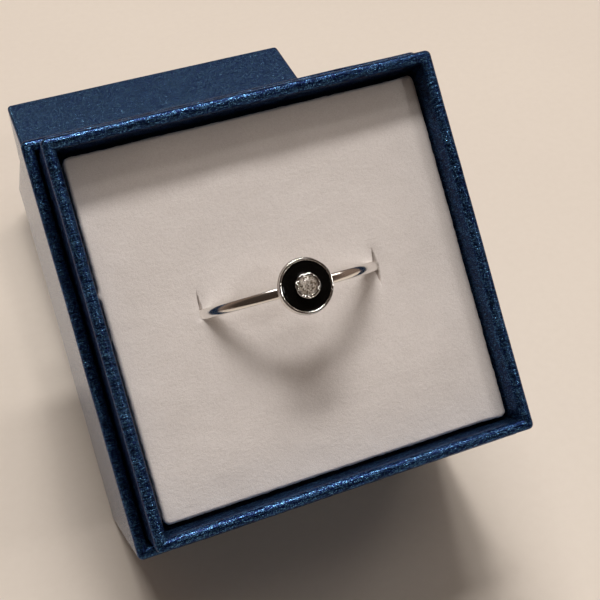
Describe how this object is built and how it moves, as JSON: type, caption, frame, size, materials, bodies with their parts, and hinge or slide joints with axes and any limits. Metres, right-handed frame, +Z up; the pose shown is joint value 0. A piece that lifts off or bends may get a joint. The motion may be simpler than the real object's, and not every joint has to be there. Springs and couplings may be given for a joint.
{
  "type": "cubic zirconia ring in gift box",
  "caption": "Slim silver ring with a round black enamelled head and a bezel-set round stone, standing in the pad of an open dark blue gift box that leans back on its lifted-off lid.",
  "frame": {"origin": "centre of the whole part's box, on the surface that it stands on", "axes": "+X to the right along the box's edges, +Y away from the open side, from the leaning base towards the lid, +Z up"},
  "size_m": [0.0432, 0.0816, 0.0507],
  "materials": {
    "pearl_paper": "dark blue with a fine pearl sheen",
    "white_flock": "short soft flock on foam",
    "polished_silver": "high polish",
    "black_enamel": "gloss",
    "cubic_zirconia": "clear, polished facets"
  },
  "bodies": {
    "root": {"base_shell": "pearl_paper", "collar": "pearl_paper", "foam_pad": "white_flock", "ring_band_and_head": "polished_silver", "enamel": "black_enamel", "stone": "cubic_zirconia", "lid": "pearl_paper"}
  },
  "joints": []
}
